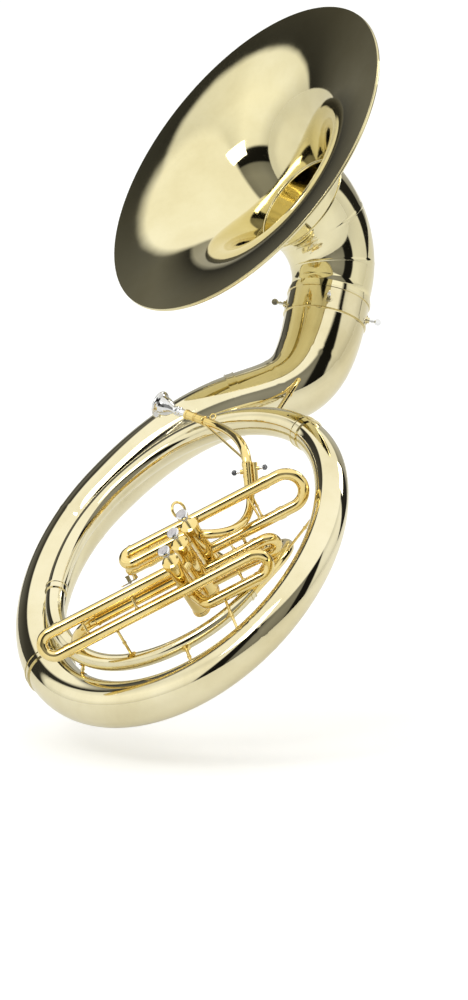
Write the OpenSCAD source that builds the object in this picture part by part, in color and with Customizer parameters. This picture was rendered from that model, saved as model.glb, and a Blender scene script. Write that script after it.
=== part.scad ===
// Sousaphone: a wearable bass tuba with a two-turn conical coil, a detachable forward bell,
// three piston valves, a detachable neck and a silver mouthpiece.
//
// Three nested frames are used.
//   part frame  : +Z up, origin at the centre of the outer coil, attitude as carried.
//   coil frame  : X and Y lie in the plane of the outer coil, Z is the coil's front normal.
//   valve frame : X along the slides, Y across the valve row, Z up the valves to the buttons.

/* [Coil] */
// Centreline radius of the outer coil
coil_r = 316; // [300:1:330]
// Scale of the stand-off between the two coils
coil_lift = 1.0; // [0.9:0.01:1.2]
// Scale of the tubing's conical taper
taper = 1.0; // [0.9:0.01:1.03]
// Wall of the conical branches
wall = 0.8; // [0.7:0.1:1.2]
// Facets round a large branch
branch_sides = 28; // [20:1:32]
// Facets round a small branch
small_sides = 20; // [16:1:24]

/* [Attitude] */
// Roll of the coil plane
coil_roll = 18.2; // [0:0.1:45]
// Pitch of the coil plane
coil_pitch = -43.6; // [-90:0.1:0]
// Turn of the coil plane
coil_yaw = 14.3; // [-45:0.1:45]

/* [Bell] */
// Diameter of the bell rim
bell_d = 660; // [610:1:670]
// Length of the flare, from the elbow seam to the rim
flare_len = 150; // [140:1:160]
// Exponent of the flare
flare_exp = 0.7; // [0.6:0.01:0.8]
// Thickness of the bell sheet
bell_wall = 0.8; // [0.7:0.1:1.2]
// Rim wire diameter
rim_wire = 7; // [5:0.5:8]
// Centreline radius of the bell elbow
elbow_r = 130; // [125:1:140]
// Turn of the bell elbow
elbow_turn = 78.6; // [75:0.1:80]
// Tube radius at the elbow's seam with the flare
throat_r = 96; // [90:1:98]

/* [Collar] */
// Bore of the collar socket
collar_bore = 146.1; // [146.1:0.1:148]
// Outside diameter of the bell tenon
tenon_od = 146.0; // [145:0.1:146]
// Depth of the collar socket
collar_len = 42; // [38:1:46]
// Number of collar screws
collar_screws = 4; // [4]

/* [Valves] */
// Outside diameter of a valve casing
casing_od = 31; // [30:0.5:32]
// Bore of a valve casing
casing_id = 26.2; // [26.2:0.1:26.6]
// Piston diameter
piston_od = 26.1; // [25.8:0.05:26.1]
// Length of a valve from cap to cap
valve_len = 146; // [140:1:150]
// Stroke of a piston
stroke = 18.5; // [16:0.5:19]
// Stagger of the row along the slides
row_x = 27; // [26:1:28]
// Spacing of the row across the slides
row_y = 30; // [29:1:31]
// Diameter of a finger button
button_d = 22.8; // [20:0.1:24]

/* [Slides] */
// Outside diameter of an inner slide leg
leg_od = 19.6; // [19.4:0.05:19.6]
// Bore of the cylindrical tubing
bore = 18.5; // [18:0.1:18.6]
// Bore of a slide sleeve
sleeve_id = 19.7; // [19.65:0.01:19.75]
// Outside diameter of a slide sleeve
sleeve_od = 21.2; // [21:0.1:21.4]

/* [Mouthpiece] */
// Rim diameter
mp_rim = 50; // [48:0.5:51]
// Whole length
mp_len = 84; // [78:1:92]

/* [Hidden] */
overcut = 0.01;
half_root = sqrt(0.5);
sleeve_r = sleeve_od / 2;
// hairline gap between soldered lengths of cylindrical tube
seam = 0.02;
lacquer = [0.88, 0.78, 0.46];
silver = [0.84, 0.85, 0.87];
felt_white = [0.86, 0.85, 0.8];
spring_steel = [0.75, 0.75, 0.75];

// ---------- vectors and curves ----------
function unit(v) = v / norm(v);
function lerp(a, b, t) = a + (b - a) * t;
function steps(a, b, count) = [for (i = [0 : count]) lerp(a, b, i / count)];
function ease(t) = t * t * (3 - 2 * t);
function bezier(ctrl, t) = pow(1 - t, 3) * ctrl[0] + 3 * pow(1 - t, 2) * t * ctrl[1]
    + 3 * (1 - t) * t * t * ctrl[2] + pow(t, 3) * ctrl[3];
function bezier_path(ctrl, count) = [for (i = [0 : count]) bezier(ctrl, i / count)];
// Catmull-Rom curve from b to c, with neighbours a and d
function catmull(a, b, c, d, t) =
    b + 0.5 * t * (c - a + t * (2 * a - 5 * b + 4 * c - d + t * (3 * (b - c) + d - a)));
// smooth curve through evenly spaced rows, at a fractional index
function smooth(rows, index) = let (i = max(1, min(len(rows) - 3, floor(index))))
    catmull(rows[i - 1], rows[i], rows[i + 1], rows[i + 2], index - i);
function turn_x(v, a) = [v.x, v.y * cos(a) - v.z * sin(a), v.y * sin(a) + v.z * cos(a)];
function turn_y(v, a) = [v.x * cos(a) + v.z * sin(a), v.y, -v.x * sin(a) + v.z * cos(a)];
function turn_z(v, a) = [v.x * cos(a) - v.y * sin(a), v.x * sin(a) + v.y * cos(a), v.z];
// matrix of a frame from its three axes and its origin
function frame(x, y, z, origin) =
    concat([for (i = [0 : 2]) [x[i], y[i], z[i], origin[i]]], [[0, 0, 0, 1]]);

// ---------- swept meshes ----------
function tangents(path) = let (last = len(path) - 1)
    [for (i = [0 : last]) unit(path[min(last, i + 1)] - path[max(0, i - 1)])];
// normals carried along the path without twist
function normals(tans) = [
    for (i = 0, side = unit(cross(tans[0], abs(tans[0].z) < 0.9 ? [0, 0, 1] : [1, 0, 0]));
        i < len(tans);
        i = i + 1, side = i < len(tans) ? unit(side - tans[i] * (side * tans[i])) : side) side];
// circles of points of the given radii round the path, one after another
function circles(path, radii, sides) = let (tans = tangents(path), norms = normals(tans)) [
    for (i = [0 : len(path) - 1]) let (across = cross(tans[i], norms[i]))
        for (j = [0 : sides - 1]) let (a = 360 * j / sides)
            path[i] + radii[i] * (cos(a) * norms[i] + sin(a) * across)];
// triangles joining successive circles
function skin(count, sides) = [
    for (i = [0 : count - 2]) for (j = [0 : sides - 1])
        let (a = i * sides + j, b = i * sides + (j + 1) % sides)
            each [[a, a + sides, b], [b, a + sides, b + sides]]];

// hollow tube along a path with outside radii
module swept(path, radii, thick, sides) {
    count = len(path);
    inside = count * sides;
    last = inside - sides;
    points = concat(circles(path, radii, sides),
        circles(path, [for (r = radii) r - thick], sides));
    outer = skin(count, sides);
    faces = concat(outer,
        [for (f = outer) [inside + f[0], inside + f[2], inside + f[1]]],
        [for (j = [0 : sides - 1]) let (a = j, b = (j + 1) % sides)
            each [[a, b, inside + a], [b, inside + b, inside + a]]],
        [for (j = [0 : sides - 1]) let (a = last + j, b = last + (j + 1) % sides)
            each [[a, inside + a, b], [b, inside + a, inside + b]]]);
    polyhedron(points = points, faces = faces, convexity = 8);
}
// twelve-sided tube along a Bezier curve
module bezier_tube(ctrl, start_r, end_r, count = 18)
    swept(bezier_path(ctrl, count), steps(start_r, end_r, count), wall, 12);
// solid round wire along a path
module wire(path, radius, sides) {
    count = len(path);
    polyhedron(points = circles(path, [for (p = path) radius], sides),
        faces = concat(skin(count, sides),
            [[for (j = [0 : sides - 1]) j]],
            [[for (j = [sides - 1 : -1 : 0]) (count - 1) * sides + j]]),
        convexity = 6);
}

// ---------- turned parts and round tube ----------
module disc(z, d, h, fn = 64) translate([0, 0, z]) cylinder(d = d, h = h, $fn = fn);
module cone(z, d1, d2, h, fn = 64) translate([0, 0, z]) cylinder(d1 = d1, d2 = d2, h = h, $fn = fn);
module ring(od, id, h) difference() {
    cylinder(d = od, h = h, $fn = 64);
    disc(-overcut, id, h + 2 * overcut);
}
// put local +Z along a direction at a point
module along(point, dir) translate(point)
    rotate([0, acos(dir.z / norm(dir)), atan2(dir.y, dir.x)]) children();
module pipe(start, end, od, id) along(start, end - start) ring(od, id, norm(end - start));
module sleeve(start, end) pipe(start, end, sleeve_od, sleeve_id);
module arc_pipe(radius, angle, od, id)
    rotate_extrude(angle = angle, $fn = 64) translate([radius, 0]) difference() {
        circle(d = od, $fn = 48);
        circle(d = id, $fn = 48);
    }
// sleeve bend at a corner, from one direction to another
module bend(corner, dir_in, dir_out, radius) {
    angle = acos(dir_in * dir_out);
    inward = unit(dir_out - dir_in * (dir_in * dir_out));
    centre = corner - dir_in * radius * tan(angle / 2) + radius * inward;
    multmatrix(frame(-inward, dir_in, cross(dir_in, inward), centre))
        arc_pipe(radius, angle, sleeve_od, sleeve_id);
}
// bent sleeve through corner points, with one bend radius for each inner corner
module bent_sleeve(points, radii) {
    last = len(points) - 1;
    dirs = [for (i = [0 : last - 1]) unit(points[i + 1] - points[i])];
    cuts = [for (i = [0 : last])
        (i == 0 || i == last) ? 0 : radii[i - 1] * tan(acos(dirs[i - 1] * dirs[i]) / 2)];
    for (i = [0 : last - 1])
        if (norm(points[i + 1] - points[i]) - cuts[i] - cuts[i + 1] > 0.05)
            sleeve(points[i] + dirs[i] * (cuts[i] + (i == 0 ? 0 : seam)),
                points[i + 1] - dirs[i] * (cuts[i + 1] + (i == last - 1 ? 0 : seam)));
    for (i = [1 : 1 : last - 1]) bend(points[i], dirs[i - 1], dirs[i], radii[i - 1]);
}
// In the valve frame a "place" is the [y, z] at which a tube parallel to X lies.
function leg_at(x, place) = [x, place[0], place[1]];
// half turn at x between two places, bulging towards side * X
module uturn(x, place_a, place_b, side, id) {
    outward = unit(leg_at(0, place_a - place_b));
    axis = [side, 0, 0];
    multmatrix(frame(outward, axis, cross(outward, axis), leg_at(x, (place_a + place_b) / 2)))
        arc_pipe(norm(place_b - place_a) / 2, 180, sleeve_od, id);
}
// a stay between two tubes, with flared feet and a bead at its middle
module stay(start, start_r, end, end_r, rod_d, foot, start_foot = 0) {
    dir = unit(end - start);
    base = start + dir * (start_r - 0.3);
    length = norm(end - dir * (end_r - 0.3) - base);
    along(base, dir) {
        cylinder(d = rod_d, h = length, $fn = 32);
        cylinder(d1 = start_foot ? start_foot : foot, d2 = rod_d, h = 3.2, $fn = 48);
        cone(length - 3.2, rod_d, foot, 3.2, 48);
        disc(length / 2 - 1.5, rod_d + 2, 3, 32);
    }
}

// ---------- frames ----------
valve_origin = [8, -132, 141];
valve_turn = [5.9, 9.9, -16.9];
module in_coil() rotate([coil_roll, coil_pitch, coil_yaw]) children();
module in_valves() in_coil() translate(valve_origin) rotate(valve_turn) children();
function dir_to_coil(v) = turn_z(turn_y(turn_x(v, valve_turn.x), valve_turn.y), valve_turn.z);
function valve_to_coil(p) = dir_to_coil(p) + valve_origin;
function coil_to_valve(p) =
    turn_x(turn_y(turn_z(p - valve_origin, -valve_turn.z), -valve_turn.y), -valve_turn.x);

// ---------- coil geometry, in the coil frame ----------
// Angle 0 is +X. The coil runs from the bow at 90 degrees to its small end at 640 degrees.
bow_angle = 90;
outer_end = 170;
lower_end = 360;
inner_end = 502;
coil_end = 640;
// one row every 40 degrees from 80: [fraction of coil_r, height, tube radius]
coil_rows = [
    [1, 4, 50.5], [1, 5.5, 46.5], [1, 6.5, 44.2], [1, 8, 42.5],
    [1, 9, 40.3], [1, 10, 36.3], [1, 11, 31.5], [0.984, 13, 27.5],
    [0.892, 27, 24.2], [0.795, 40, 21], [0.788, 48, 18.6], [0.813, 48, 16.9],
    [0.791, 40, 15.4], [0.709, 24, 13.8], [0.652, 6, 12.2], [0.62, -6, 10.6]];
function coil_row(angle) = smooth(coil_rows, (angle - 80) / 40);
function coil_at(angle) = let (row = coil_row(angle), r = coil_r * row[0])
    [r * cos(angle), r * sin(angle), coil_lift * row[1]];
function coil_tube_r(angle) = taper * coil_row(angle)[2];

// the bow: from the collar down and round into the outer coil, t from 0 to 1
collar_centre = [517, 347, -78];
collar_axis = unit([0.797, 0.564, 0.214]);
bow_start_r = 74.2;
bow_mid_r = 58;
// where the bell branch meets the outer branch
bow_cut = 0.6;
bow_ctrl = [collar_centre - collar_axis * 30, collar_centre - collar_axis * 268,
    [356, coil_at(bow_angle).y, coil_at(bow_angle).z], coil_at(bow_angle)];
function bow_at(t) = bezier(bow_ctrl, t);
function bow_tube_r(t) = taper * (t < 0.5
    ? lerp(bow_start_r, bow_mid_r, ease(t * 2) * 0.35 + t * 2 * 0.65)
    : lerp(bow_mid_r, coil_row(bow_angle)[2], (t - 0.5) * 2));

// ---------- bell ----------
bell_dir = unit([-0.115, 0.139, 0.984]);
bell_side = unit(bell_dir - collar_axis * (collar_axis * bell_dir));
// height at which the elbow starts to turn
elbow_z = 35;
// bell frame: Z along the collar axis, X towards the side the bell faces
module in_bell() in_coil()
    multmatrix(frame(bell_side, cross(collar_axis, bell_side), collar_axis, collar_centre))
        children();
// flare frame: Z along the bell axis from the elbow seam
module in_flare() in_bell() translate([elbow_r, 0, elbow_z]) rotate([0, elbow_turn, 0])
    translate([-elbow_r, 0, 0]) children();

flare_offset = flare_len / (pow(bell_d / 2 / throat_r, 1 / flare_exp) - 1);
flare_steps = 30;
function flare_r(z) = bell_d / 2 * pow(flare_offset / (flare_offset + flare_len - z), flare_exp);
// stations crowd towards the rim
function flare_z(i) = flare_len * (1 - pow(1 - i / flare_steps, 1.9));
module bell_flare() color(lacquer) in_flare() rotate_extrude($fn = 160)
    polygon(concat(
        [for (i = [0 : flare_steps]) [flare_r(flare_z(i)), flare_z(i)]],
        [for (i = [flare_steps : -1 : 0])
            [flare_r(flare_z(i)) - bell_wall * (i == flare_steps ? 0.6 : 1),
                flare_z(i) + bell_wall * 0.9 * i / flare_steps]]));
module bell_rim_wire() color(lacquer) in_flare() translate([0, 0, flare_len + bell_wall * 0.4])
    rotate_extrude($fn = 160) translate([bell_d / 2 - rim_wire / 2 + 0.5, -rim_wire / 2 - 0.4])
        circle(d = rim_wire, $fn = 24);

socket_top = 14;
// underside of the tenon's lip
lip_z = socket_top + 0.2;
tenon_depth = 26;
module bell_elbow() color(lacquer) in_bell() {
    fractions = steps(0, 1, 14);
    path = [for (t = fractions) let (a = elbow_turn * t)
        [elbow_r * (1 - cos(a)), 0, elbow_z + elbow_r * sin(a)]];
    radii = [for (t = fractions) lerp(tenon_od / 2, throat_r, 0.55 * t + 0.45 * t * t)];
    swept(concat([[0, 0, lip_z]], path), concat([tenon_od / 2], radii), bell_wall, 36);
}
module bell_seam_ring() color(lacquer) in_flare() rotate_extrude($fn = 120)
    translate([throat_r + 0.4, 0]) circle(d = 3.4, $fn = 24);
// turned tenon that drops into the collar socket
module bell_tenon() color(lacquer) in_bell() difference() {
    union() {
        disc(-tenon_depth, tenon_od, tenon_depth + lip_z, 96);
        disc(lip_z, 152.5, 3.6, 96);
        disc(lip_z, 149.5, 9, 96);
    }
    disc(-tenon_depth - 1, 143.4, 42.2, 96);
    disc(15, 146.2, 10, 96);
}

// ---------- collar ----------
collar_screw_d = 5;
// axis pointing out along collar screw i, starting at the given radius
module at_collar_screw(i, radius) rotate([0, 0, 52 + 360 / collar_screws * i])
    translate([radius, 0, -12]) rotate([0, 90, 0]) children();
// socket on the bow, with a bead, a lower ring and bosses for the screws
module collar_socket() color(lacquer) in_bell() difference() {
    union() {
        disc(socket_top - collar_len, 149.6, collar_len, 96);
        disc(socket_top - 4, 153.4, 4, 96);
        disc(socket_top - collar_len - 3, 153, 5, 96);
        for (i = [0 : collar_screws - 1]) at_collar_screw(i, 73.6) {
            cylinder(d = 11, h = 6.4, $fn = 48);
            cylinder(d = 17, h = 2.4, $fn = 48);
        }
    }
    disc(-tenon_depth - 0.4, collar_bore, 60, 96);
    disc(-60, 144.6, 60, 96);
    for (i = [0 : collar_screws - 1]) at_collar_screw(i, 60)
        cylinder(d = collar_screw_d + 0.1, h = 30, $fn = 32);
}
module collar_screw(i) color(silver) in_bell() at_collar_screw(i, 73.25) {
    shank = 17;
    head = 12;
    cylinder(d = collar_screw_d, h = shank, $fn = 32);
    disc(shank - 6, 6.6, 2, 32);
    cone(shank - 1, collar_screw_d, 7, 2, 32);
    translate([0, 0, shank]) rotate([90, 0, 0]) translate([0, head * 0.42, -1.4]) {
        cylinder(d = head, h = 2.8, $fn = 48);
        disc(-0.35, head * 0.72, 3.5, 48);
    }
}

// ---------- conical branches ----------
module bell_branch() color(lacquer) in_coil() {
    bow = steps(0, bow_cut, 22);
    swept([for (t = bow) bow_at(t)], [for (t = bow) bow_tube_r(t)], wall, branch_sides);
}
module outer_branch() color(lacquer) in_coil() {
    bow = steps(bow_cut, 0.98, 9);
    angles = steps(bow_angle, outer_end, 16);
    swept(concat([for (t = bow) bow_at(t)], [for (a = angles) coil_at(a)]),
        concat([for (t = bow) bow_tube_r(t)], [for (a = angles) coil_tube_r(a)]),
        wall, branch_sides);
}
module coil_run(start, end, count, sides) {
    angles = steps(start, end, count);
    swept([for (a = angles) coil_at(a)], [for (a = angles) coil_tube_r(a)], wall, sides);
}
module lower_branch() color(lacquer) in_coil() coil_run(outer_end, lower_end, 27, branch_sides);
module inner_branch() color(lacquer) in_coil() coil_run(lower_end, inner_end, 22, small_sides);
module small_branch() color(lacquer) in_coil() coil_run(inner_end, coil_end, 22, small_sides);

// a sleeve with a bead at each end, centred on a joint and aimed at a second point
module ferrule(joint, aim, radius, length) along(joint, aim - joint)
    translate([0, 0, -length / 2]) {
        id = 2 * radius - 1;
        ring(2 * radius + 2.2, id, length);
        for (z = [0, length - 1.8]) translate([0, 0, z]) ring(2 * radius + 4.4, id, 1.8);
    }
module branch_ferrules() color(lacquer) in_coil() {
    ferrule(bow_at(bow_cut), bow_at(bow_cut + 0.01), bow_tube_r(bow_cut) + 0.6, 17);
    // [coil angle, clearance over the tube, length]
    for (joint = [[outer_end, 0.5, 16], [lower_end, 0.5, 18], [inner_end, 0.4, 14]])
        ferrule(coil_at(joint[0]), coil_at(joint[0] + 1), coil_tube_r(joint[0]) + joint[1],
            joint[2]);
    ferrule(coil_at(coil_end - 1), coil_at(coil_end), coil_tube_r(coil_end) + 0.2, 10);
}

// ---------- valve section, in the valve frame ----------
function valve_at(i) = [row_x * (1 - i), row_y * (1 - i), 0];
// vector from its X part and its parts along the diagonals +Y+Z and -Y+Z
function diagonal(x, plus, minus) = [x, (plus - minus) * half_root, (plus + minus) * half_root];

// places of the tubes
top_leg_z = -21.5;
first_in = [row_y, top_leg_z];
first_side = [58, top_leg_z];
first_low = [row_y, -80];
second_high = [0, -91];
second_low = [0, -124];
third_in = [-row_y, top_leg_z];
third_mid = [-59.5, -52];
third_low = [-76, -93];
tuning_a = [58, -62];
tuning_b = [84, -88];
main_in = [-row_y, -47];
main_a = tuning_a - [0, 97];
main_b = tuning_b - [0, 112.5];

// x at the mouths of the slide sleeves
first_mouth = 178;
second_mouth = 112;
third_mouth = -262;
tuning_mouth = -70;
main_mouth = 84.6;
main_in_mouth = -196;

// x at which the low leg of the third slide turns to its valve
third_corner_x = -8;
lead_dir = unit([0.803, -0.596, 0]);
lead_port_z = -27;
knuckle_12_z = -112;
knuckle_23_z = -45;
// for each valve, its ports: [height, direction]
ports = [
    [[top_leg_z, [-1, 0, 0]], [first_low[1], [1, 0, 0]],
        [lead_port_z, lead_dir], [knuckle_12_z, valve_at(1) - valve_at(0)]],
    [[knuckle_12_z, valve_at(0) - valve_at(1)], [second_high[1], [1, 0, 0]],
        [second_low[1], [1, 0, 0]], [knuckle_23_z, valve_at(2) - valve_at(1)]],
    [[knuckle_23_z, valve_at(1) - valve_at(2)], [top_leg_z, [-1, 0, 0]],
        [main_in[1], [-1, 0, 0]],
        [third_low[1], [third_corner_x, third_low[0], 0] - valve_at(2)]]];

module each_valve() for (i = [0 : 2]) translate(valve_at(i)) children();
// solid cores that trim tubes back to the casings
module valve_cores() each_valve() disc(-valve_len - 1, casing_od, valve_len + 2);
module valve_casings() color(lacquer) in_valves()
    for (i = [0 : 2]) translate(valve_at(i)) difference() {
        union() {
            disc(-valve_len + 6.5, casing_od, valve_len - 10);
            disc(-12.2, casing_od + 1.4, 1.6);
            disc(-valve_len + 7, casing_od + 1.4, 1.6);
            disc(-67, casing_od + 1, 1.4);
        }
        disc(-valve_len, casing_id, valve_len);
        for (port = ports[i]) along([0, 0, port[0]], port[1])
            cylinder(d = bore - 0.5, h = 17, $fn = 48);
    }
// joining tubes and thin struts between neighbouring valves
module valve_knuckles() color(lacquer) in_valves() difference() {
    // [first valve, height, outside diameter, bore]
    union() for (k = [[0, knuckle_12_z, 20.4, bore], [1, knuckle_23_z, 20.4, bore],
            [0, -30, 5, 1], [1, -118, 5, 1]])
        pipe(valve_at(k[0]) + [0, 0, k[1]], valve_at(k[0] + 1) + [0, 0, k[1]], k[2], k[3]);
    valve_cores();
}
cap_d = 32.4;
// knurling rings round a cap
module cap_rings(z, count) for (k = [0 : count - 1]) disc(z + 2.3 * k, cap_d + 0.8, 1.1);
module valve_top_caps() color(lacquer) in_valves() each_valve() difference() {
    union() {
        disc(-10.4, cap_d, 9.6);
        cone(-0.81, cap_d, 24, 1.8);
        cap_rings(-9.6, 4);
    }
    disc(-11, casing_od + 0.04, 7.55);
    disc(-20, 6.2, 40, 32);
}
module valve_bottom_caps() color(lacquer) in_valves() each_valve()
    translate([0, 0, -valve_len]) difference() {
        union() {
            cylinder(d = cap_d, h = 6.4, $fn = 64);
            cap_rings(1.2, 2);
            disc(5.9, casing_id - 0.1, 3);
            cone(-2.5, 17, 26, 2.6);
        }
        disc(2.4, 23, 12);
        disc(-4, 4, 12, 32);
    }

piston_top = -5.7;
piston_len = 112;
// recess under the piston that takes the spring
piston_recess = 6;
// bore of the felt and button over the 6 mm stem
stem_bore = 6.04;
module piston(i) color(silver) in_valves() translate(valve_at(i)) difference() {
    union() {
        disc(piston_top - piston_len, piston_od, piston_len);
        disc(piston_top - 1, 12, 2.5, 48);
        disc(piston_top, 6, stroke + 2.8 - piston_top, 32);
    }
    disc(piston_top - piston_len - 1, 21.5, piston_recess + 1, 48);
    for (k = [0 : 3]) translate([0, 0, piston_top - 16 - 26 * k])
        rotate([0, 0, 50 * k + 30 * i]) translate([-20, 0, 0]) rotate([0, 90, 0])
            cylinder(d = 17, h = 40, $fn = 48);
}
module finger_button(i) color(silver) in_valves() translate(valve_at(i) + [0, 0, stroke])
    difference() {
        union() {
            disc(3.2, 11, 4.6, 48);
            cone(7.5, 19, button_d, 1.6);
            disc(9.1, button_d, 3.6);
            cone(12.7, button_d, 19.5, 1.2);
            cone(13.8, 19, 17.5, 0.8);
        }
        disc(-8.5, stem_bore, 11.32, 32);
        disc(1.5, stem_bore, 2, 32);
    }
// the felt stands one stroke above the top cap
module valve_felt(i) color(felt_white) in_valves() translate(valve_at(i) + [0, 0, stroke + 1])
    ring(15, stem_bore, 2.15);
module valve_spring(i) color(spring_steel) in_valves() translate(valve_at(i)) {
    coil_radius = 9.6;
    count = 54;
    bottom = -valve_len + 3.2;
    top = piston_top - piston_len + piston_recess - 0.75;
    wire([for (k = [0 : count]) [coil_radius * cos(k * 30), coil_radius * sin(k * 30),
        lerp(bottom, top, k / count)]], 0.65, 5);
}

// ---------- slides ----------
// ring that ends at x, pointing along side * X
module sleeve_ring(x, place, side) along(leg_at(x, place), [side, 0, 0])
    translate([0, 0, -5]) ring(sleeve_od + 2.2, sleeve_od - 0.4, 5);
module first_slide_tubes() color(lacquer) in_valves() difference() {
    turn = -92;
    union() {
        sleeve(leg_at(row_x, first_in), leg_at(turn + seam, first_in));
        uturn(turn, first_in, first_side, -1, sleeve_id);
        sleeve(leg_at(turn + seam, first_side), leg_at(first_mouth, first_side));
        sleeve(leg_at(row_x, first_low), leg_at(first_mouth, first_low));
        for (place = [first_side, first_low]) sleeve_ring(first_mouth, place, 1);
        for (place = [first_side, first_in]) sleeve_ring(-86, place, 1);
    }
    valve_cores();
}
module second_slide_tubes() color(lacquer) in_valves() difference() {
    union() for (place = [second_high, second_low]) {
        sleeve(leg_at(0, place), leg_at(second_mouth, place));
        sleeve_ring(second_mouth, place, 1);
    }
    valve_cores();
}
module third_slide_tubes() color(lacquer) in_valves() difference() {
    turn = 102;
    union() {
        sleeve(leg_at(-row_x, third_in), leg_at(third_mouth, third_in));
        sleeve(leg_at(third_mouth, third_mid), leg_at(turn - seam, third_mid));
        uturn(turn, third_mid, third_low, 1, sleeve_id);
        bent_sleeve([leg_at(turn - seam, third_low), leg_at(third_corner_x, third_low),
            valve_at(2) + [0, 0, third_low[1]]], [16]);
        for (place = [third_in, third_mid]) sleeve_ring(third_mouth, place, -1);
        sleeve_ring(100, third_mid, 1);
        sleeve_ring(98, third_low, 1);
    }
    valve_cores();
}
slide_gap = 0.4;
// the crook of a slide: two legs reaching back into sleeves, turning back at crook_end
module crook(mouth, crook_end, place_a, place_b, leg_len) {
    side = sign(crook_end - mouth);
    start = mouth + side * slide_gap;
    radius = norm(place_b - place_a) / 2;
    uturn(crook_end - side * radius, place_a, place_b, side, bore);
    for (place = [place_a, place_b]) {
        pipe(leg_at(start, place), leg_at(crook_end - side * (radius + seam), place),
            sleeve_od, bore);
        pipe(leg_at(start - side * leg_len, place), leg_at(start - side * seam, place),
            leg_od, bore);
        along(leg_at(start, place), [side, 0, 0]) ring(sleeve_od + 2.4, sleeve_od - 0.4, 5);
    }
}
tuning_crook_end = -109;
module first_slide() color(lacquer) in_valves()
    crook(first_mouth, 236, first_side, first_low, leg_len = 62);
module second_slide() color(lacquer) in_valves()
    crook(second_mouth, 146, second_high, second_low, leg_len = 58);
module third_slide() color(lacquer) in_valves()
    crook(third_mouth, -302, third_in, third_mid, leg_len = 110);
module tuning_slide() color(lacquer) in_valves()
    crook(tuning_mouth, tuning_crook_end, tuning_a, tuning_b, leg_len = 42);

// ---------- tubes between the valves and the small end of the coil ----------
main_r = 9.8;
// direction from the coil to the tube that runs alongside its small end
beside_dir = [0.0317, 0.8007, -0.5982];
function beside_at(angle) = coil_at(angle) + beside_dir * (coil_tube_r(angle) + main_r + 5);
// coil angles at the two ends of that run
beside_start = 607;
beside_end = 556;
coil_end_dir = unit(coil_at(coil_end) - coil_at(coil_end - 1));
slide_dir = dir_to_coil([1, 0, 0]);
main_b_start = leg_at(main_mouth, main_b);
main_b_ctrl = [valve_to_coil(main_b_start), valve_to_coil(main_b_start + [147, 0, 0]),
    coil_at(coil_end) + coil_end_dir * 44, coil_at(coil_end)];
module main_tubes() color(lacquer) in_coil() {
    bezier_tube(main_b_ctrl, main_r, coil_tube_r(coil_end));
    start = valve_to_coil(leg_at(main_mouth, main_a));
    start_dir = unit(beside_at(beside_start) - beside_at(beside_start - 1));
    bezier_tube([start, start + slide_dir * 110,
        beside_at(beside_start) + start_dir * 114, beside_at(beside_start)], main_r, main_r);
    swept([for (a = steps(beside_start, beside_end, 10)) beside_at(a)],
        steps(main_r, main_r, 10), wall, 12);
    end = valve_to_coil(leg_at(main_in_mouth, main_in));
    end_dir = unit(beside_at(beside_end) - beside_at(beside_end - 1));
    bezier_tube([beside_at(beside_end), beside_at(beside_end) - end_dir * 60,
        end - slide_dir * 62, end], main_r, main_r, 12);
}
module main_tube_sleeves() color(lacquer) in_valves() difference() {
    union() {
        sleeve(leg_at(-row_x, main_in), leg_at(main_in_mouth, main_in));
        sleeve_ring(main_in_mouth, main_in, -1);
        for (pair = [[tuning_a, main_a], [tuning_b, main_b]]) {
            bent_sleeve([leg_at(tuning_mouth, pair[0]), leg_at(8, pair[0]),
                leg_at(44, pair[1]), leg_at(main_mouth, pair[1])], [22, 22]);
            sleeve_ring(tuning_mouth, pair[0], -1);
            sleeve_ring(main_mouth, pair[1], 1);
        }
    }
    valve_cores();
}

// ---------- leadpipe and neck receiver ----------
lead_small_r = 7.4;
lead_large_r = 8.6;
receiver_axis = unit(diagonal(0.337, 0.905, -0.26));
receiver_base = diagonal(143, 20, -92);
receiver_len = 55;
receiver_x = unit([1, 0, 0] - receiver_axis * receiver_axis.x);
module leadpipe() color(lacquer) in_valves() {
    end = valve_at(0) + [0, 0, lead_port_z] + lead_dir * 14.9;
    bezier_tube([receiver_base, receiver_base - receiver_axis * 60, end + lead_dir * 60, end],
        lead_small_r, lead_large_r);
}
// receiver frame: Z along the neck's tenon, X nearly along the slides
module in_receiver() in_valves()
    multmatrix(frame(receiver_x, cross(receiver_axis, receiver_x), receiver_axis, receiver_base))
        children();
neck_screw_z = receiver_len - 13;
module neck_receiver() color(lacquer) in_receiver() difference() {
    union() {
        cylinder(d = 18.4, h = receiver_len, $fn = 64);
        disc(-3, 16.6, 5);
        disc(receiver_len - 4, 20.4, 4);
        disc(receiver_len - 24, 20, 3);
        translate([0, 0, neck_screw_z]) rotate([0, -90, 0]) cylinder(d = 8.5, h = 14, $fn = 48);
    }
    disc(receiver_len - 36, 16.1, 60);
    disc(-10, 14.9, 60);
    translate([0, 0, neck_screw_z]) rotate([0, -90, 0]) cylinder(d = 4.1, h = 30, $fn = 32);
}
lyre_base = [13.6, -2, receiver_len - 42];
lyre_screw_z = 31;
module lyre_socket() color(lacquer) in_receiver() translate(lyre_base) difference() {
    union() {
        cylinder(d = 8.6, h = 42, $fn = 48);
        disc(38, 10, 4, 48);
        translate([0, 0, lyre_screw_z]) rotate([0, 90, 0]) cylinder(d = 7, h = 8, $fn = 48);
    }
    disc(2, 6.4, 60, 48);
    translate([0, 0, lyre_screw_z]) rotate([0, 90, 0]) cylinder(d = 4.1, h = 30, $fn = 32);
}
module small_screw(shank) {
    cylinder(d = 4, h = shank, $fn = 32);
    disc(shank - 4, 5.4, 1.6, 32);
    translate([0, 0, shank]) rotate([90, 0, 0]) translate([0, 3.6, -1.1]) {
        cylinder(d = 10, h = 2.2, $fn = 48);
        disc(-0.3, 7, 2.8, 48);
    }
}
module neck_screw() color(silver) in_receiver() translate([-8.15, 0, neck_screw_z])
    rotate([0, -90, 0]) small_screw(13);
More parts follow.
